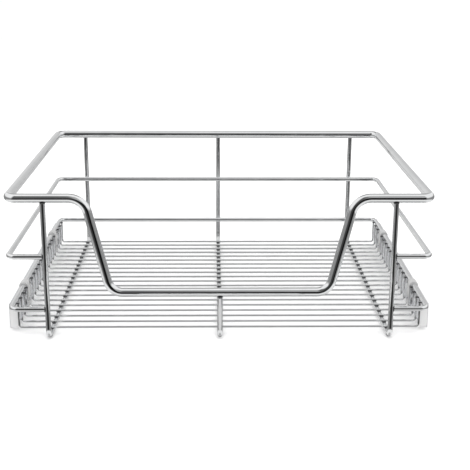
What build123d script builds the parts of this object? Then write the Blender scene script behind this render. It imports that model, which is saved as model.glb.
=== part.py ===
from build123d import *
import os
from math import asin, atan2, cos, degrees, hypot, radians, sin, tan

# Pull-out wire basket for a 600 mm kitchen cabinet, on a pair of ball slides.
# Millimetres. X across, Y from the front (-Y) to the back, Z up from the underside of the skid wires.

os.makedirs("parts", exist_ok=True)

# ---- wires ----
rim_wire = 12.0
rail_wire = 7.0
skid_wire = 7.0
floor_wire = 3.0

# ---- basket, outer sizes over the rim ----
basket_width = 552.0
basket_depth = 452.0
basket_height = 198.0
rim_corner_radius = 12.0
rail_corner_radius = 10.0

# ---- hand grip dip in the front of the rim, on the wire's centre line ----
dip_top_width = 346.6
dip_bottom_width = 284.6
dip_bar_height = 65.5
dip_top_radius = 25.0
dip_bottom_radius = 20.0

# ---- rails round the sides and back ----
mid_rail_height = 115.0
lower_rail_height = 43.0
rail_standout = 0.5

# ---- skid wires ----
skid_inset = 45.0
skid_bend_radius = 12.0
skid_outset = 2.5

# ---- floor wires ----
floor_wire_count = 20
floor_margin = 22.0
floor_bend_radius = 3.5
floor_end_above_rail = 2.0

# ---- ball slides ----
slide_length = 400.0
slide_height = 35.0
slide_thickness = 12.0
slide_setback = 30.0
slide_gap_to_wires = 0.5
slide_gap_under_rail = 0.5
travel = 400.0
outer_sheet = 1.2
middle_sheet = 1.0
inner_sheet = 1.2
cage_sheet = 0.5
ball_radius = 1.6
ball_clearance = 0.1
pocket_clearance = 0.15
running_gap = 0.9
ball_rows_across = 4.0
ball_rows_down = 2.8
outer_row_inset = 4.6
balls_per_row = 6
cage_flange_past_ball = 1.45
outer_cage_drop = 0.1
inner_cage_drop = 0.1
inner_cage_web = 4.2
cage_end_gap = 2.0
cage_window_length = 15.0
cage_window_width = 8.0
rear_gap = 0.3
rear_bumper_thickness = 4.0
front_gap = 2.0
front_cap_gap = 0.3
front_cap_plate = 2.0
front_cap_edge_gap = 1.0
front_cap_corner_radius = 3.0
front_cap_rounding = 0.8
front_cap_plug_length = 10.0
front_cap_plug_height = 12.0
front_cap_plug_depth = 4.0
slide_bend_radius = 1.2
middle_bend_radius = 0.8
outer_lip = 0.3
middle_lip = 0.2
inner_lip = 0.2
stop_edge_gap = 1.0
bumper_edge_gap = 2.0
bumper_corner_radius = 1.0

# ---- holes in the slides ----
cabinet_hole_radius = 2.1
cabinet_hole_pitch = 320.0
cabinet_hole_first = 40.0
access_hole_radius = 5.0
adjuster_slot_length = 9.0
adjuster_offset = 16.0

# ---- clips that hold the lower rail on the slides ----
clip_width = 14.0
clip_web = 3.6
clip_hook_wall = 2.5
clip_clearance = 0.1
clip_foot = 8.0
clip_screw_rise = 2.0
clip_wire_gaps = (4, 16)
screw_radius = 1.5
screw_head_radius = 3.2
screw_head_height = 1.8
screw_crown_radius = 1.0
screw_hole_clearance = 0.05
screw_tip = 1.6

# ---- places that follow from the sizes above ----
rim_x = (basket_width - rim_wire) / 2
rim_y = (basket_depth - rim_wire) / 2
rim_z = basket_height - rim_wire / 2
skid_z = skid_wire / 2
skid_x = rim_x - skid_inset
skid_y = rim_y + skid_outset
floor_z = skid_wire + floor_wire / 2
rail_x = (basket_width - rail_wire) / 2 + rail_standout
rail_back_y = skid_y - (skid_wire + rail_wire) / 2
rail_end_x = skid_x + skid_wire / 2
floor_x = rail_x - (rail_wire + floor_wire) / 2
floor_pitch = 2 * (rim_y - floor_margin) / (floor_wire_count - 1)

slide_inner_x = floor_x + floor_wire / 2 + slide_gap_to_wires
slide_outer_x = slide_inner_x + slide_thickness
slide_z = lower_rail_height - rail_wire / 2 - slide_gap_under_rail - slide_height / 2
slide_front = -rim_y + slide_setback
slide_back = slide_front + slide_length
bumper_front = slide_back - outer_sheet - rear_bumper_thickness
moving_back = bumper_front - rear_gap
middle_front = slide_front + front_gap
drawer_front = slide_front - front_cap_gap

outer_ball = (outer_row_inset, slide_height / 2 - outer_sheet - ball_clearance - ball_radius)
inner_ball = (outer_ball[0] + ball_rows_across, outer_ball[1] - ball_rows_down)
middle_web = outer_sheet + running_gap + middle_sheet / 2
inner_web = slide_thickness - inner_sheet / 2
track_reach = ball_radius + ball_clearance
clip_screw_z = slide_z + clip_screw_rise
cabinet_holes = [slide_front + cabinet_hole_first + i * cabinet_hole_pitch for i in range(2)]
adjuster_slots = [cabinet_holes[0] + adjuster_offset, cabinet_holes[1] - adjuster_offset]


def write(name, shape):
    shape.label = name
    export_step(shape, f"parts/{name}.step")


def wire_rod(points, radii, diameter):
    """Round wire bent along straight runs with the given inside corners."""
    path = FilletPolyline(*points, radius=radii)
    section = Plane(origin=path @ 0, z_dir=path % 0) * Circle(diameter / 2)
    return sweep(section, path=path)


# ---- the basket ----

def make_rim():
    """Half of the closed loop, from the back bar to the bar of the dip, and its mirror image."""
    half = wire_rod(
        [
            (0, rim_y, rim_z),
            (-rim_x, rim_y, rim_z),
            (-rim_x, -rim_y, rim_z),
            (-dip_top_width / 2, -rim_y, rim_z),
            (-dip_bottom_width / 2, -rim_y, dip_bar_height),
            (0, -rim_y, dip_bar_height),
        ],
        [rim_corner_radius, rim_corner_radius, dip_top_radius, dip_bottom_radius],
        rim_wire,
    )
    return half + mirror(half, about=Plane.YZ)


def make_rail(height):
    """U inside the back posts and along the sides, its ends turned in and butted on the front posts."""
    return wire_rod(
        [
            (-rail_end_x, -skid_y, height),
            (-rail_x, -skid_y, height),
            (-rail_x, rail_back_y, height),
            (rail_x, rail_back_y, height),
            (rail_x, -skid_y, height),
            (rail_end_x, -skid_y, height),
        ],
        rail_corner_radius,
        rail_wire,
    )


def make_skid(x, front_top):
    """From under the front bar down, back under the floor and up to the back of the rim."""
    return wire_rod(
        [
            (x, -skid_y, front_top),
            (x, -skid_y, skid_z),
            (x, skid_y, skid_z),
            (x, skid_y, rim_z - rim_wire / 2),
        ],
        skid_bend_radius,
        skid_wire,
    )


def make_floor_wire(y):
    top = lower_rail_height + floor_end_above_rail
    return wire_rod(
        [(-floor_x, y, top), (-floor_x, y, floor_z), (floor_x, y, floor_z), (floor_x, y, top)],
        floor_bend_radius,
        floor_wire,
    )


# ---- the slides, drawn on the right-hand side ----
# A slide section is drawn in (t, w): t from the cabinet wall towards the basket, w up from its middle.
# Places round a ball are angles in degrees, from straight towards the basket.

straight_up = 90
straight_down = 270


def tangent_corner(ball, reach, start, end):
    """Where the tangents at two angles of a circle round a ball meet."""
    half = radians(end - start) / 2
    middle = radians(start + end) / 2
    far = reach / cos(half)
    return (ball[0] + far * cos(middle), ball[1] + far * sin(middle))


def on_circle(ball, reach, angle):
    return (ball[0] + reach * cos(radians(angle)), ball[1] + reach * sin(radians(angle)))


def section_strip(upper, radii, sheet):
    """A rolled sheet section from its upper half: the web is the join of the two halves."""
    lower = [(t, -w) for t, w in reversed(upper)]
    line = FilletPolyline(*lower, *upper, radius=[*reversed(radii), *radii])
    return trace(line, line_width=sheet)


def extrude_section(section, front, back):
    """Stand the (t, w) section in the slide's place and draw it out from front to back."""
    place = Plane(origin=(slide_outer_x, front, slide_z), x_dir=(-1, 0, 0), z_dir=(0, 1, 0))
    return extrude(place * section, amount=back - front)


def outer_section():
    reach = track_reach + outer_sheet / 2
    lip_angle = 15
    lip = on_circle(outer_ball, reach, lip_angle)
    end = (lip[0] + outer_lip * sin(radians(lip_angle)), lip[1] - outer_lip * cos(radians(lip_angle)))
    upper = [
        (outer_sheet / 2, outer_ball[1] + reach),
        tangent_corner(outer_ball, reach, straight_up, lip_angle),
        end,
    ]
    return section_strip(upper, [slide_bend_radius, reach], outer_sheet)


def middle_section():
    """The flange dips under the outer ball, then climbs over the inner ball."""
    reach = track_reach + middle_sheet / 2
    across = inner_ball[0] - outer_ball[0]
    down = inner_ball[1] - outer_ball[1]
    climb = degrees(atan2(down, across) + asin(2 * reach / hypot(across, down)))
    entry = 250
    lip_angle = 20
    foot = on_circle(outer_ball, reach, entry)
    shoulder = (middle_web, foot[1] + (foot[0] - middle_web) * tan(radians(straight_down - entry)))
    lip = on_circle(inner_ball, reach, lip_angle)
    end = (lip[0] + middle_lip * sin(radians(lip_angle)), lip[1] - middle_lip * cos(radians(lip_angle)))
    upper = [
        shoulder,
        tangent_corner(outer_ball, reach, entry, straight_down + climb),
        tangent_corner(inner_ball, reach, straight_up + climb, lip_angle),
        end,
    ]
    return section_strip(upper, [middle_bend_radius, reach, reach], middle_sheet)


def inner_section():
    reach = track_reach + inner_sheet / 2
    lip_angle = 215
    lip = on_circle(inner_ball, reach, lip_angle)
    end = (lip[0] + inner_lip * sin(radians(lip_angle)), lip[1] - inner_lip * cos(radians(lip_angle)))
    upper = [
        (inner_web, inner_ball[1] - reach),
        tangent_corner(inner_ball, reach, straight_down, lip_angle),
        end,
    ]
    return section_strip(upper, [slide_bend_radius, reach], inner_sheet)


def across_cut(outline, y, z, t_from, t_to):
    """A cutter across the slide, its outline's long way along Y, between two depths."""
    place = Plane(origin=(slide_outer_x - t_from, y, z), x_dir=(0, 1, 0), z_dir=(-1, 0, 0))
    return extrude(place * outline, amount=t_to - t_from)


def make_cabinet_member():
    member = extrude_section(outer_section(), slide_front, slide_back)
    stop_reach = inner_web - inner_sheet
    stop_height = 2 * (inner_ball[1] - track_reach - inner_sheet - stop_edge_gap)
    stop = Box(stop_reach, outer_sheet, stop_height)
    stop_place = Pos(slide_outer_x - stop_reach / 2, slide_back - outer_sheet / 2, slide_z)
    member += stop_place * stop
    for y in cabinet_holes:
        member -= across_cut(Circle(cabinet_hole_radius), y, slide_z, -1, outer_sheet + 1)
    for y, turned in zip(adjuster_slots, (90, 0)):
        slot = SlotOverall(adjuster_slot_length, 2 * cabinet_hole_radius, rotation=turned)
        member -= across_cut(slot, y, slide_z, -1, outer_sheet + 1)
    return member


def make_middle_member():
    member = extrude_section(middle_section(), middle_front, moving_back)
    window = SlotOverall(adjuster_offset + 4 * access_hole_radius, 2 * access_hole_radius)
    for hole, slot in zip(cabinet_holes, adjuster_slots):
        y = (hole + slot) / 2
        member -= across_cut(window, y, slide_z, outer_sheet, middle_web + middle_sheet)
    return member


def clip_places():
    """Middles of the gaps between floor wires that hold the clips."""
    return [-rim_y + floor_margin + (gap - 0.5) * floor_pitch for gap in clip_wire_gaps]


def make_drawer_member():
    member = extrude_section(inner_section(), drawer_front, moving_back)
    depth = (inner_web - inner_sheet, slide_thickness + 1)
    for y in cabinet_holes + adjuster_slots:
        member -= across_cut(Circle(access_hole_radius), y, slide_z, *depth)
    screw_hole = Circle(screw_radius + screw_hole_clearance)
    for y in clip_places():
        member -= across_cut(screw_hole, y, clip_screw_z, *depth)
    return member


def cage_front():
    """A cage starts where it still lies between both its members when the basket is pulled out."""
    return middle_front + travel / 4 + cage_end_gap


def cage_length():
    return moving_back - travel / 4 - cage_end_gap - cage_front()


def ball_pitch():
    return cage_length() / balls_per_row


def ball_places(ball):
    """Ball centres of the upper and lower row, evenly spaced along their cage."""
    return [
        (slide_outer_x - ball[0], cage_front() + (i + 0.5) * ball_pitch(), slide_z + side * ball[1])
        for i in range(balls_per_row)
        for side in (-1, 1)
    ]


def make_cage(ball, web_t, strip_t, strip_w):
    """U-shaped strip: a web with windows in it, and a flange with ball pockets at each edge."""
    web = Pos(web_t + cage_sheet / 2, 0) * Rectangle(cage_sheet, 2 * strip_w)
    flange_size = Rectangle(strip_t - web_t, cage_sheet)
    middle_t = (strip_t + web_t) / 2
    top = Pos(middle_t, strip_w - cage_sheet / 2) * flange_size
    bottom = Pos(middle_t, -strip_w + cage_sheet / 2) * flange_size
    cage = extrude_section(web + top + bottom, cage_front(), cage_front() + cage_length())
    for at in ball_places(ball):
        cage -= Pos(*at) * Sphere(ball_radius + pocket_clearance)
    window = SlotOverall(cage_window_length, cage_window_width)
    for i in range(1, balls_per_row):
        y = cage_front() + i * ball_pitch()
        cage -= across_cut(window, y, slide_z, web_t - cage_sheet, web_t + 2 * cage_sheet)
    return cage


def make_outer_cage():
    web_t = outer_sheet + (running_gap - cage_sheet) / 2
    strip_t = outer_ball[0] + cage_flange_past_ball
    return make_cage(outer_ball, web_t, strip_t, outer_ball[1] - outer_cage_drop)


def make_inner_cage():
    strip_t = inner_ball[0] + cage_flange_past_ball
    return make_cage(inner_ball, inner_cage_web, strip_t, inner_ball[1] - inner_cage_drop)


def make_balls(ball):
    return Compound([Pos(*at) * Sphere(ball_radius) for at in ball_places(ball)])


def make_front_cap():
    """Moulded cap on the front end of the drawer member, with a plug inside its channel."""
    width = slide_thickness - front_cap_edge_gap
    plate = Box(width, front_cap_plate, slide_height - 2 * front_cap_edge_gap)
    plate = fillet(plate.edges().filter_by(Axis.Y), front_cap_corner_radius)
    plate = fillet(plate.faces().sort_by(Axis.Y)[0].edges(), front_cap_rounding)
    plate = Pos(slide_inner_x + width / 2, drawer_front - front_cap_plate / 2, slide_z) * plate
    plug = Box(front_cap_plug_depth, front_cap_plug_length, front_cap_plug_height)
    plug_x = slide_inner_x + inner_sheet + front_cap_plug_depth / 2
    return plate + Pos(plug_x, drawer_front + front_cap_plug_length / 2, slide_z) * plug


def make_bumper():
    height = 2 * (inner_ball[1] - track_reach - inner_sheet - bumper_edge_gap)
    width = inner_web - inner_sheet - middle_web
    block = Box(width, rear_bumper_thickness, height)
    block = fillet(block.edges().filter_by(Axis.X), bumper_corner_radius)
    x = slide_outer_x - middle_web - width / 2
    return Pos(x, bumper_front + rear_bumper_thickness / 2, slide_z) * block


def make_clip(y):
    """Moulded hook over the lower rail, its web screwed to the drawer member."""
    hole = rail_wire / 2 + clip_clearance
    hook_radius = hole + clip_hook_wall
    foot = slide_z - clip_foot
    rail = Pos(rail_x, lower_rail_height)
    below = rail * Pos(0, -hook_radius / 2 - clip_clearance) * Rectangle(3 * hook_radius, hook_radius)
    web_size = Rectangle(clip_web, lower_rail_height - foot)
    web = Pos(slide_inner_x - clip_web / 2, (foot + lower_rail_height) / 2) * web_size
    profile = rail * Circle(hook_radius) - below + web - rail * Circle(hole)
    place = Plane(origin=(0, y + clip_width / 2, 0), x_dir=(1, 0, 0), z_dir=(0, -1, 0))
    clip = extrude(place * profile, amount=clip_width)
    screw_hole = Circle(screw_radius + screw_hole_clearance)
    depth = (slide_thickness - 1, slide_thickness + clip_web + 1)
    return clip - across_cut(screw_hole, y, clip_screw_z, *depth)


def make_screw(y):
    """Pan-head screw through the clip's web into the drawer member."""
    seat = slide_thickness + clip_web
    shank = across_cut(Circle(screw_radius), y, clip_screw_z, inner_web - screw_tip, seat)
    head = across_cut(Circle(screw_head_radius), y, clip_screw_z, seat, seat + screw_head_height)
    crown = head.edges().filter_by(GeomType.CIRCLE).sort_by(Axis.X)[0]
    return shank + fillet(crown, screw_crown_radius)


# ---- write every piece ----

write("rim", make_rim())
write("mid_rail", make_rail(mid_rail_height))
write("lower_rail", make_rail(lower_rail_height))
write("left_skid_wire", make_skid(-skid_x, rim_z - rim_wire / 2))
write("centre_skid_wire", make_skid(0, dip_bar_height - rim_wire / 2))
write("right_skid_wire", make_skid(skid_x, rim_z - rim_wire / 2))
for number in range(floor_wire_count):
    write(f"floor_wire_{number + 1:02d}", make_floor_wire(-rim_y + floor_margin + number * floor_pitch))

right_pieces = {
    "cabinet_member": make_cabinet_member(),
    "middle_member": make_middle_member(),
    "drawer_member": make_drawer_member(),
    "outer_cage": make_outer_cage(),
    "inner_cage": make_inner_cage(),
    "outer_balls": make_balls(outer_ball),
    "inner_balls": make_balls(inner_ball),
    "rear_bumper": make_bumper(),
    "front_cap": make_front_cap(),
    "front_clip": make_clip(clip_places()[0]),
    "rear_clip": make_clip(clip_places()[1]),
    "clip_screws": Compound([make_screw(y) for y in clip_places()]),
}
for name, piece in right_pieces.items():
    write(f"right_{name}", piece)
    write(f"left_{name}", mirror(piece, about=Plane.YZ))
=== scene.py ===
from math import ceil, cos, radians, sin, tan

import bmesh
import bpy
from mathutils import Matrix, Vector


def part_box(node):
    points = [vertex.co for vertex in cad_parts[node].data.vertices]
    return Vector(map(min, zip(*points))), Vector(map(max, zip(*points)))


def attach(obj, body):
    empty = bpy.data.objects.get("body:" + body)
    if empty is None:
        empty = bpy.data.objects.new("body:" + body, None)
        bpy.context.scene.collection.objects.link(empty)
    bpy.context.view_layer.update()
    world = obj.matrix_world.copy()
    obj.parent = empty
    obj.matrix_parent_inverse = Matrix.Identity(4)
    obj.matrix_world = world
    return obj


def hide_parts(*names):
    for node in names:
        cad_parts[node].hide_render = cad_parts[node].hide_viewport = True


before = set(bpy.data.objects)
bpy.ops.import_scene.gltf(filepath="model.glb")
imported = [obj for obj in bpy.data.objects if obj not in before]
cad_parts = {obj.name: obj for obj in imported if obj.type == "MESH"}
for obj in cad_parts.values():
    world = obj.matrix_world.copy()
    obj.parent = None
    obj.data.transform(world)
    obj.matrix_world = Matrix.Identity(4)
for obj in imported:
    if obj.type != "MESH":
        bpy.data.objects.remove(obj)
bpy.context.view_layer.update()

# ---- photograph ----
IMAGE_WIDTH = 470
FOCAL_LENGTH_PX = 984.9
SENSOR_WIDTH_MM = 36.0
CAMERA_PLACE = Vector((-0.0098, -1.4335, 0.5004))
CAMERA_YAW = radians(1.366)
CAMERA_PITCH = radians(-16.396)
CAMERA_ROLL = radians(0.341)

# ---- wires, in metres ----
RIM_WIRE = 0.012
RAIL_WIRE = 0.007
SKID_WIRE = 0.007
FLOOR_WIRE = 0.003
RIM_CORNER = 0.012
RAIL_CORNER = 0.010
SKID_BEND = 0.012
FLOOR_BEND = 0.0035
DIP_TOP_WIDTH = 0.3466
DIP_BOTTOM_WIDTH = 0.2846
DIP_TOP_BEND = 0.025
DIP_BOTTOM_BEND = 0.020

# ---- welds: half sizes along X, Y and Z ----
CROSSING_WELD = Vector((0.0036, 0.0027, 0.0010))
WIRE_END_WELD = Vector((0.0019, 0.0020, 0.0019))
BUTT_WELD = Vector((0.0014, 0.0036, 0.0041))
POST_WELD = Vector((0.0036, 0.0014, 0.0030))
POST_TOP_WELD = Vector((0.0038, 0.0038, 0.0010))
RIM_SEAM = Vector((0.0085, 0.0061, 0.0061))
RIM_SEAM_X = 0.0067
CUT_BEVEL = 0.00035

# ---- studio sheets: two opposite corners each ----
PAPER = ((-4, -4), (4, 4))
FRONT_CARD = ((-0.12, -0.45), (0.12, -0.245))

# ---- brightness of the studio; a pair runs from low to high, or from left to right ----
SEEN_WHITE = 1.02
SOFT_LIGHT = 1.5
TENT = (0.86, 0.92)
TENT_UNDERSIDE = 0.52
BAND = 0.27
SURROUND = 0.22
BACKDROP = (0.72, 0.58)
OPENING_UPPER = (0.12, 0.42)
OPENING_LOWER = (0.05, 0.0)

# ---- soft edges of the studio's zones, as parts of a unit direction ----
TENT_HEIGHTS = (-0.6, 0.9)
UNDERSIDE_TOP = (-0.97, -0.80)
BAND_BOTTOM = (-0.50, -0.45)
BAND_TOP = (0.05, 0.30)
BAND_REAR_END = (-0.93, -0.83)
SURROUND_START = (0.40, 0.60)
SURROUND_SIDE = (0.25, 0.45)
BACKDROP_START = (0.86, 0.93)
BACKDROP_WIDTH = (-0.3, 0.3)
OPENING_START = (0.62, 0.86)
OPENING_BOTTOM = (-0.42, -0.38)
OPENING_TOP = (0.86, 0.92)
OPENING_WIDTH = (-0.2, 0.2)
OPENING_MIDDLE = (0.28, 0.40)
LEAST_REACH = 0.0001

# ---- mesh detail ----
SIDES_THICK = 40
SIDES_THIN = 24
ARC_STEP = radians(4)
ARC_STEPS_LEAST = 3
RUN_COLLAR = 0.0012
SHARP_EDGE = radians(50)

FLOOR_NODES = sorted(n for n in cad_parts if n.startswith("floor_wire_"))
SIDES = ("left", "right")


# ---- shader maths ----

class Value:
    """A socket that takes part in sums, by making the nodes for them."""

    def __init__(self, shader, socket):
        self.shader = shader
        self.socket = socket

    def math(self, operation, *others):
        return self.shader.math(operation, self, *others)

    def __add__(self, other):
        return self.shader.math("ADD", self, other)

    def __radd__(self, other):
        return self.shader.math("ADD", other, self)

    def __sub__(self, other):
        return self.shader.math("SUBTRACT", self, other)

    def __rsub__(self, other):
        return self.shader.math("SUBTRACT", other, self)

    def __mul__(self, other):
        return self.shader.math("MULTIPLY", self, other)

    def __rmul__(self, other):
        return self.shader.math("MULTIPLY", other, self)

    def __truediv__(self, other):
        return self.shader.math("DIVIDE", self, other)

    def __rtruediv__(self, other):
        return self.shader.math("DIVIDE", other, self)

    def towards(self, other, amount):
        """Moves to another value by an amount from 0 to 1."""
        return self * (1 - amount) + other * amount

    def smooth(self, low, high, to_low=0.0, to_high=1.0):
        """Eases from to_low to to_high as the value goes from low to high."""
        node = self.shader.nodes.new("ShaderNodeMapRange")
        node.interpolation_type = "SMOOTHSTEP"
        self.shader.feed(node.inputs[0], self)
        for slot, number in zip(node.inputs[1:5], (low, high, to_low, to_high)):
            slot.default_value = number
        return Value(self.shader, node.outputs[0])

    def ramp(self, *stops):
        """Colours by place: each stop is a place and a colour."""
        node = self.shader.nodes.new("ShaderNodeValToRGB")
        self.shader.feed(node.inputs[0], self)
        elements = node.color_ramp.elements
        while len(elements) < len(stops):
            elements.new(1.0)
        for element, (place, colour) in zip(elements, stops):
            element.position = place
            element.color = (*colour, 1.0)
        return Value(self.shader, node.outputs[0])


class Shader:
    """The node tree of a material or of the world."""

    def __init__(self, owner):
        owner.use_nodes = True
        self.tree = owner.node_tree
        self.nodes = self.tree.nodes
        self.nodes.clear()

    def feed(self, slot, value):
        if isinstance(value, Value):
            self.tree.links.new(value.socket, slot)
        else:
            slot.default_value = value

    def math(self, operation, *terms):
        node = self.nodes.new("ShaderNodeMath")
        node.operation = operation
        for slot, term in zip(node.inputs, terms):
            self.feed(slot, term)
        return Value(self, node.outputs[0])

    def make(self, kind, out=0, **inputs):
        """One node by its type, with inputs set by name, and one of its outputs."""
        node = self.nodes.new(kind)
        for name, value in inputs.items():
            self.feed(node.inputs[name.replace("_", " ")], value)
        return Value(self, node.outputs[out])

    def object_place(self, scale):
        """Object coordinates, stretched."""
        place = self.make("ShaderNodeTexCoord", "Object")
        return self.make("ShaderNodeMapping", Vector=place, Scale=scale)

    def noise(self, scale, detail, stretch=(1, 1, 1)):
        """A soft random pattern of 0 to 1, fixed to the piece."""
        place = self.object_place(stretch)
        return self.make("ShaderNodeTexNoise", "Fac", Vector=place, Scale=scale, Detail=detail)

    def bump(self, height, strength, distance):
        return self.make("ShaderNodeBump", Height=height, Strength=strength, Distance=distance)

    def surface(self, **inputs):
        """The one Principled surface of a material, and its output."""
        principled = self.nodes.new("ShaderNodeBsdfPrincipled")
        for name, value in inputs.items():
            self.feed(principled.inputs[name.replace("_", " ")], value)
        output = self.nodes.new("ShaderNodeOutputMaterial")
        self.tree.links.new(principled.outputs[0], output.inputs["Surface"])


def new_material(name):
    material = bpy.data.materials.new(name)
    return material, Shader(material)


# ---- materials ----

def chrome_material():
    """Bright plating: a mirror with a faint drift in polish and a very fine orange peel."""
    material, s = new_material("bright_chrome")
    drift = s.noise(scale=28, detail=2)
    peel = s.noise(scale=900, detail=2)
    s.surface(
        Base_Color=drift.ramp((0.3, (0.84, 0.85, 0.86)), (0.7, (0.91, 0.915, 0.92))),
        Metallic=1.0,
        Roughness=drift.smooth(0.3, 0.75, 0.045, 0.085),
        Normal=s.bump(peel, strength=0.06, distance=0.0001),
    )
    return material


def weld_material():
    """Plated weld metal: duller, pitted and darker than the wire."""
    material, s = new_material("plated_weld")
    pits = s.noise(scale=1600, detail=4)
    s.surface(
        Base_Color=pits.ramp((0.35, (0.035, 0.035, 0.036)), (0.7, (0.20, 0.20, 0.205))),
        Metallic=0.8,
        Roughness=pits.smooth(0.3, 0.7, 0.45, 0.28),
        Normal=s.bump(pits, strength=0.5, distance=0.0003),
    )
    return material


def cut_end_material():
    """A sheared wire end, dark where the plating is thin over the shear marks."""
    material, s = new_material("sheared_wire_end")
    marks = s.noise(scale=700, detail=3, stretch=(1, 6, 1))
    s.surface(
        Base_Color=marks.ramp((0.3, (0.03, 0.03, 0.031)), (0.75, (0.12, 0.12, 0.122))),
        Metallic=0.3,
        Roughness=marks.smooth(0.3, 0.7, 0.55, 0.35),
        Normal=s.bump(marks, strength=0.4, distance=0.0002),
    )
    return material


def zinc_material(name, level, metallic):
    """Zinc-plated rolled sheet: streaks along the rolling, and a soft spangle."""
    material, s = new_material(name)
    streaks = s.noise(scale=260, detail=3, stretch=(1, 0.03, 1))
    spangle = s.noise(scale=55, detail=3)
    tone = (streaks + spangle) / 2
    dark = (level - 0.06, level - 0.05, level - 0.03)
    light = (level + 0.05, level + 0.05, level + 0.06)
    s.surface(
        Base_Color=tone.ramp((0.35, dark), (0.65, light)),
        Metallic=metallic,
        Roughness=tone.smooth(0.35, 0.65, 0.34, 0.44),
        Normal=s.bump(streaks, strength=0.12, distance=0.0002),
    )
    return material


def cage_material():
    """Bare steel strip of the ball cages, brushed along the rolling."""
    material, s = new_material("rolled_steel_strip")
    streaks = s.noise(scale=400, detail=3, stretch=(1, 0.05, 1))
    s.surface(
        Base_Color=streaks.ramp((0.3, (0.42, 0.42, 0.43)), (0.7, (0.58, 0.58, 0.59))),
        Metallic=1.0,
        Roughness=streaks.smooth(0.3, 0.7, 0.3, 0.42),
        Normal=s.bump(streaks, strength=0.1, distance=0.0001),
    )
    return material


def ball_material():
    """Ground and polished steel balls under a thin film of oil."""
    material, s = new_material("polished_ball_steel")
    film = s.noise(scale=600, detail=2)
    s.surface(
        Base_Color=film.ramp((0.3, (0.70, 0.70, 0.71)), (0.7, (0.82, 0.82, 0.83))),
        Metallic=1.0,
        Roughness=film.smooth(0.3, 0.7, 0.08, 0.16),
    )
    return material


def rubber_material():
    """Matt black rubber of the bumpers."""
    material, s = new_material("black_rubber")
    grain = s.noise(scale=1400, detail=3)
    s.surface(
        Base_Color=grain.ramp((0.3, (0.018, 0.018, 0.018)), (0.7, (0.045, 0.045, 0.046))),
        Roughness=grain.smooth(0.3, 0.7, 0.62, 0.8),
        Normal=s.bump(grain, strength=0.3, distance=0.0002),
    )
    return material


def nylon_material(name, level):
    """Moulded grey or white nylon of an even tone, with a fine grain."""
    material, s = new_material(name)
    grain = s.noise(scale=1100, detail=4)
    cloud = s.noise(scale=60, detail=2)
    s.surface(
        Base_Color=cloud.ramp((0.3, (level - 0.02,) * 3), (0.7, (level + 0.02,) * 3)),
        Roughness=grain.smooth(0.3, 0.7, 0.42, 0.58),
        Normal=s.bump(grain, strength=0.25, distance=0.0002),
    )
    return material


def screw_material():
    """Zinc on turned screws, brighter than on the sheet."""
    material, s = new_material("zinc_plated_screw")
    film = s.noise(scale=500, detail=3)
    s.surface(
        Base_Color=film.ramp((0.3, (0.58, 0.59, 0.61)), (0.7, (0.74, 0.75, 0.77))),
        Metallic=1.0,
        Roughness=film.smooth(0.3, 0.7, 0.2, 0.34),
        Normal=s.bump(film, strength=0.1, distance=0.0001),
    )
    return material


def paper_material(name, level):
    """Studio paper or card of an even tone, with faint fibres."""
    material, s = new_material(name)
    fibres = s.noise(scale=40, detail=3)
    s.surface(
        Base_Color=fibres.ramp((0.3, (level - 0.01,) * 3), (0.7, (level + 0.01,) * 3)),
        Roughness=0.9,
    )
    return material


CHROME = chrome_material()
WELD = weld_material()
CUT_END = cut_end_material()

# a node takes the material of the last part that its name holds: the screws of a clip are screws
NODE_MATERIALS = {
    "cabinet_member": zinc_material("zinc_plated_sheet", level=0.72, metallic=0.7),
    "drawer_member": zinc_material("white_passivated_sheet", level=0.86, metallic=0.2),
    "cage": cage_material(),
    "balls": ball_material(),
    "bumper": rubber_material(),
    "clip": nylon_material("grained_grey_nylon", level=0.47),
    "front_cap": nylon_material("grained_white_nylon", level=0.62),
    "screws": screw_material(),
}
NODE_MATERIALS["middle_member"] = NODE_MATERIALS["cabinet_member"]


# ---- meshes ----

def finish_mesh(name, shape, materials, body, replaced=()):
    """Makes a bmesh into a smooth-shaded piece, sharp only at its real edges, that rides on a body."""
    bmesh.ops.recalc_face_normals(shape, faces=shape.faces)
    for face in shape.faces:
        face.smooth = True
    for edge in shape.edges:
        if len(edge.link_faces) == 2 and edge.calc_face_angle() > SHARP_EDGE:
            edge.smooth = False
    mesh = bpy.data.meshes.new(name)
    shape.to_mesh(mesh)
    shape.free()
    piece = bpy.data.objects.new(name, mesh)
    bpy.context.scene.collection.objects.link(piece)
    for material in materials:
        mesh.materials.append(material)
    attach(piece, body)
    if replaced:
        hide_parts(*replaced)


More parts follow.
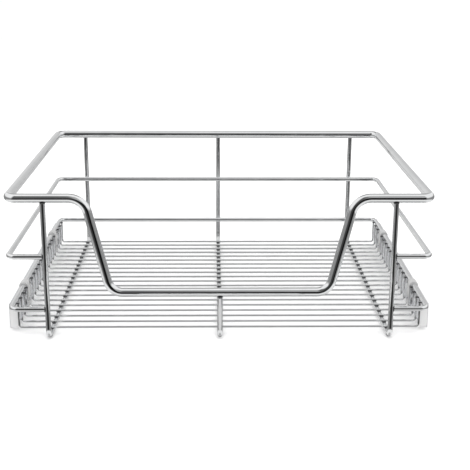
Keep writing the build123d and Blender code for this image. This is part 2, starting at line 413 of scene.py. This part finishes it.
def bent_wire(corners, bends, wire, sides, closed=False):
    """A round wire along its corners, each rounded by its own bend.

    Straight runs are extruded and bends are spun. Cut ends are capped and bevelled, and a closed
    wire's last loop is merged with its first."""
    shape = bmesh.new()
    here = corners[0]
    heading = (corners[1] - here).normalized()
    turned = Vector((0, 0, 1)).rotation_difference(heading).to_matrix().to_4x4()
    place = Matrix.Translation(here) @ turned
    circle = bmesh.ops.create_circle(shape, segments=sides, radius=wire / 2, matrix=place)
    start = list({edge for vert in circle["verts"] for edge in vert.link_edges})
    ring = start

    def run(ring, way):
        """A straight run, with a loop close to each end that keeps its shading straight."""
        collar = way.normalized() * min(RUN_COLLAR, way.length / 4)
        for step in (collar, way - collar * 2, collar):
            made = bmesh.ops.extrude_edge_only(shape, edges=ring)["geom"]
            verts = {part for part in made if isinstance(part, bmesh.types.BMVert)}
            bmesh.ops.translate(shape, verts=list(verts), vec=step)
            edges = [part for part in made if isinstance(part, bmesh.types.BMEdge)]
            ring = [edge for edge in edges if verts.issuperset(edge.verts)]
        return ring

    for corner, after, bend in zip(corners[1:], corners[2:], bends):
        out = (after - corner).normalized()
        angle = heading.angle(out)
        back_off = bend * tan(angle / 2)
        bend_start = corner - heading * back_off
        ring = run(ring, bend_start - here)
        axis = heading.cross(out).normalized()
        spun = bmesh.ops.spin(
            shape,
            geom=ring,
            cent=bend_start + axis.cross(heading) * bend,
            axis=axis,
            angle=angle,
            steps=max(ARC_STEPS_LEAST, ceil(angle / ARC_STEP)),
        )
        ring = [part for part in spun["geom_last"] if isinstance(part, bmesh.types.BMEdge)]
        here, heading = corner + out * back_off, out
    ring = run(ring, corners[-1] - here)
    if closed:
        bmesh.ops.remove_doubles(shape, verts=shape.verts, dist=1e-6)
        return shape
    for end in (start, ring):
        bmesh.ops.edgeloop_fill(shape, edges=end, mat_nr=1)
    bmesh.ops.bevel(
        shape,
        geom=[*start, *ring],
        offset=CUT_BEVEL,
        segments=2,
        profile=0.5,
        affect="EDGES",
        material=-1,
    )
    return shape


def bead(shape, place, half_size):
    """A weld bead: a small egg with half sizes along X, Y and Z."""
    matrix = Matrix.Translation(place) @ Matrix.Diagonal((*half_size, 1))
    bmesh.ops.create_uvsphere(shape, u_segments=16, v_segments=10, radius=1.0, matrix=matrix)


# ---- the basket's wires, each from its own CAD node's box ----

def middle_of(node, wire):
    """Centre lines of a bent wire: its box, less half a wire all round."""
    low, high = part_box(node)
    half = Vector((wire, wire, wire)) / 2
    return low + half, high - half


def make_rim():
    """A closed loop that starts and ends in the middle of the back bar."""
    low, high = middle_of("rim", RIM_WIRE)
    top, bar = high.z, low.z
    half = [
        Vector((low.x, high.y, top)),
        Vector((low.x, low.y, top)),
        Vector((-DIP_TOP_WIDTH / 2, low.y, top)),
        Vector((-DIP_BOTTOM_WIDTH / 2, low.y, bar)),
    ]
    other = [Vector((-corner.x, corner.y, corner.z)) for corner in reversed(half)]
    back = Vector((0, high.y, top))
    bends = [RIM_CORNER, RIM_CORNER, DIP_TOP_BEND, DIP_BOTTOM_BEND]
    corners = [back, *half, *other, back]
    shape = bent_wire(corners, bends + bends[::-1], RIM_WIRE, SIDES_THICK, closed=True)
    finish_mesh("rim_wire", shape, [CHROME], "basket", ["rim"])


def make_rail(node):
    """A rail round the sides and back, its front ends butted on the outer sides of the posts."""
    low, high = middle_of(node, RAIL_WIRE)
    z = (low.z + high.z) / 2
    end_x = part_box("right_skid_wire")[1].x
    corners = [
        Vector((-end_x, low.y, z)),
        Vector((low.x, low.y, z)),
        Vector((low.x, high.y, z)),
        Vector((high.x, high.y, z)),
        Vector((high.x, low.y, z)),
        Vector((end_x, low.y, z)),
    ]
    shape = bent_wire(corners, [RAIL_CORNER] * 4, RAIL_WIRE, SIDES_THIN)
    finish_mesh(f"{node}_wire", shape, [CHROME, CUT_END], "basket", [node])


def make_skid(node, front_top):
    """A post down the back, a run under the floor and a post up the front."""
    low, high = middle_of(node, SKID_WIRE)
    _, box_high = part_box(node)
    x = (low.x + high.x) / 2
    corners = [
        Vector((x, low.y, front_top)),
        Vector((x, low.y, low.z)),
        Vector((x, high.y, low.z)),
        Vector((x, high.y, box_high.z)),
    ]
    shape = bent_wire(corners, [SKID_BEND] * 2, SKID_WIRE, SIDES_THIN)
    finish_mesh(f"{node}_rod", shape, [CHROME, CUT_END], "basket", [node])


def make_floor_wire(node):
    """A thin wire across the basket with both ends turned up."""
    low, high = middle_of(node, FLOOR_WIRE)
    _, box_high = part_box(node)
    y = (low.y + high.y) / 2
    top = box_high.z
    corners = [
        Vector((low.x, y, top)),
        Vector((low.x, y, low.z)),
        Vector((high.x, y, low.z)),
        Vector((high.x, y, top)),
    ]
    shape = bent_wire(corners, [FLOOR_BEND] * 2, FLOOR_WIRE, SIDES_THIN)
    finish_mesh(f"{node}_rod", shape, [CHROME, CUT_END], "basket", [node])


def make_welds():
    """Beads where wires meet: floor wires on skids and on the lower rail, rails on posts, and
    posts under the rim. The rim's own butt seam is a swelling in its back bar."""
    skids = [f"{name}_skid_wire" for name in ("left", "centre", "right")]
    middles = {skid: sum(corner.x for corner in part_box(skid)) / 2 for skid in skids}
    rim_low, rim_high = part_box("rim")
    under_rim = rim_high.z - RIM_WIRE

    floor = bmesh.new()
    for node in FLOOR_NODES:
        low, high = middle_of(node, FLOOR_WIRE)
        y = (low.y + high.y) / 2
        for x in middles.values():
            bead(floor, Vector((x, y, low.z - FLOOR_WIRE / 2)), CROSSING_WELD)
        for x in (low.x, high.x):
            bead(floor, Vector((x, y, high.z - WIRE_END_WELD.z / 2)), WIRE_END_WELD)
    finish_mesh("floor_spot_welds", floor, [WELD], "basket")

    joints = bmesh.new()
    for rail in ("mid_rail", "lower_rail"):
        low, high = middle_of(rail, RAIL_WIRE)
        z = (low.z + high.z) / 2
        for x in middles.values():
            bead(joints, Vector((x, high.y + RAIL_WIRE / 2, z)), POST_WELD)
            if x:
                outer_side = x + SKID_WIRE / 2 * (1 if x > 0 else -1)
                bead(joints, Vector((outer_side, low.y, z)), BUTT_WELD)
    for skid, x in middles.items():
        low, high = middle_of(skid, SKID_WIRE)
        for y in (low.y, high.y):
            under_bar = skid == "centre_skid_wire" and y < 0
            bead(joints, Vector((x, y, rim_low.z if under_bar else under_rim)), POST_TOP_WELD)
    finish_mesh("frame_welds", joints, [WELD], "basket")

    seam = bmesh.new()
    bead(seam, Vector((RIM_SEAM_X, rim_high.y - RIM_WIRE / 2, rim_high.z - RIM_WIRE / 2)), RIM_SEAM)
    finish_mesh("rim_butt_seam", seam, [CHROME], "basket")


make_rim()
make_rail("mid_rail")
make_rail("lower_rail")
for side in SIDES:
    _, post_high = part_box(f"{side}_skid_wire")
    make_skid(f"{side}_skid_wire", post_high.z)
make_skid("centre_skid_wire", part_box("rim")[0].z)
for node in FLOOR_NODES:
    make_floor_wire(node)
make_welds()

# ---- the slides keep their CAD solids and get their materials ----

for name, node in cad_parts.items():
    for part, material in NODE_MATERIALS.items():
        if name.startswith(SIDES) and part in name:
            node.data.materials.clear()
            node.data.materials.append(material)


# ---- studio ----

def flat_stage(name, low, high, material):
    """A level sheet on the ground between two corners, for the studio only."""
    shape = bmesh.new()
    size = Vector((*(b - a for a, b in zip(low, high)), 1))
    middle = Vector([(a + b) / 2 for a, b in zip(low, high)] + [0])
    matrix = Matrix.Translation(middle) @ Matrix.Diagonal((*size, 1))
    bmesh.ops.create_grid(shape, x_segments=1, y_segments=1, size=0.5, matrix=matrix)
    mesh = bpy.data.meshes.new(name)
    shape.to_mesh(mesh)
    shape.free()
    sheet = bpy.data.objects.new(name, mesh)
    bpy.context.scene.collection.objects.link(sheet)
    mesh.materials.append(material)
    return sheet


def make_floor():
    """White paper under the basket, which mirrored rays don't see, and a grey card in front on it,
    which only mirrored rays see and which lights the front posts."""
    white = paper_material("white_studio_paper", level=0.95)
    paper = flat_stage("studio_floor", *PAPER, white)
    paper.visible_glossy = False
    grey = paper_material("grey_studio_card", level=0.5)
    card = flat_stage("front_card", *FRONT_CARD, grey)
    card.visible_camera = False
    card.visible_diffuse = False
    card.visible_shadow = False


def make_world():
    """The camera sees white, and soft surfaces get an even light. Mirrored rays see a white tent with
    a grey band round its sides and front, a grey surround and a pale backdrop in the middle of
    the back, and a dark opening at the front."""
    world = bpy.data.worlds.new("studio_tent")
    bpy.context.scene.world = world
    s = Shader(world)
    way = s.make("ShaderNodeTexCoord", "Generated")
    split = s.nodes.new("ShaderNodeSeparateXYZ")
    s.feed(split.inputs[0], way)
    x, y, z = (Value(s, out) for out in split.outputs)
    reach = (x * x + y * y).math("SQRT").math("MAXIMUM", LEAST_REACH)
    frontness = y / reach * -1

    tent = z.smooth(*TENT_HEIGHTS, *TENT) * z.smooth(*UNDERSIDE_TOP, TENT_UNDERSIDE, 1.0)
    band = z.smooth(*BAND_BOTTOM) * (1 - z.smooth(*BAND_TOP)) * frontness.smooth(*BAND_REAR_END)
    surround = y.smooth(*SURROUND_START) * (1 - x.math("ABSOLUTE").smooth(*SURROUND_SIDE))
    backdrop = y.smooth(*BACKDROP_START)
    opening_heights = z.smooth(*OPENING_BOTTOM) * (1 - z.smooth(*OPENING_TOP))
    opening = frontness.smooth(*OPENING_START) * opening_heights

    backdrop_level = x.smooth(*BACKDROP_WIDTH, *BACKDROP)
    upper_level = x.smooth(*OPENING_WIDTH, *OPENING_UPPER)
    lower_level = x.smooth(*OPENING_WIDTH, *OPENING_LOWER)
    opening_level = lower_level.towards(upper_level, z.smooth(*OPENING_MIDDLE))
    mirrored = (
        tent.towards(BAND, band)
        .towards(SURROUND, surround)
        .towards(backdrop_level, backdrop)
        .towards(opening_level, opening)
    )

    rays = s.nodes.new("ShaderNodeLightPath")
    seen = Value(s, rays.outputs["Is Camera Ray"])
    glossy = Value(s, rays.outputs["Is Glossy Ray"])
    level = (SOFT_LIGHT * (1 - glossy) + mirrored * glossy).towards(SEEN_WHITE, seen)
    background = s.nodes.new("ShaderNodeBackground")
    background.inputs["Color"].default_value = (1, 1, 1, 1)
    s.feed(background.inputs["Strength"], level)
    output = s.nodes.new("ShaderNodeOutputWorld")
    s.tree.links.new(background.outputs[0], output.inputs["Surface"])


def make_camera():
    """The photograph's camera: its place, heading, tilt and lean."""
    data = bpy.data.cameras.new("camera")
    camera = bpy.data.objects.new("camera", data)
    bpy.context.scene.collection.objects.link(camera)
    bpy.context.scene.camera = camera
    data.sensor_width = SENSOR_WIDTH_MM
    data.lens = FOCAL_LENGTH_PX / IMAGE_WIDTH * SENSOR_WIDTH_MM
    ahead = Vector(
        (
            sin(CAMERA_YAW) * cos(CAMERA_PITCH),
            cos(CAMERA_YAW) * cos(CAMERA_PITCH),
            sin(CAMERA_PITCH),
        )
    )
    level_right = Vector((cos(CAMERA_YAW), -sin(CAMERA_YAW), 0))
    level_up = level_right.cross(ahead)
    right = level_right * cos(CAMERA_ROLL) + level_up * sin(CAMERA_ROLL)
    up = level_up * cos(CAMERA_ROLL) - level_right * sin(CAMERA_ROLL)
    turn = Matrix((right, up, -ahead)).transposed().to_4x4()
    camera.matrix_world = Matrix.Translation(CAMERA_PLACE) @ turn


make_floor()
make_world()
make_camera()
bpy.context.scene.view_settings.view_transform = "Standard"
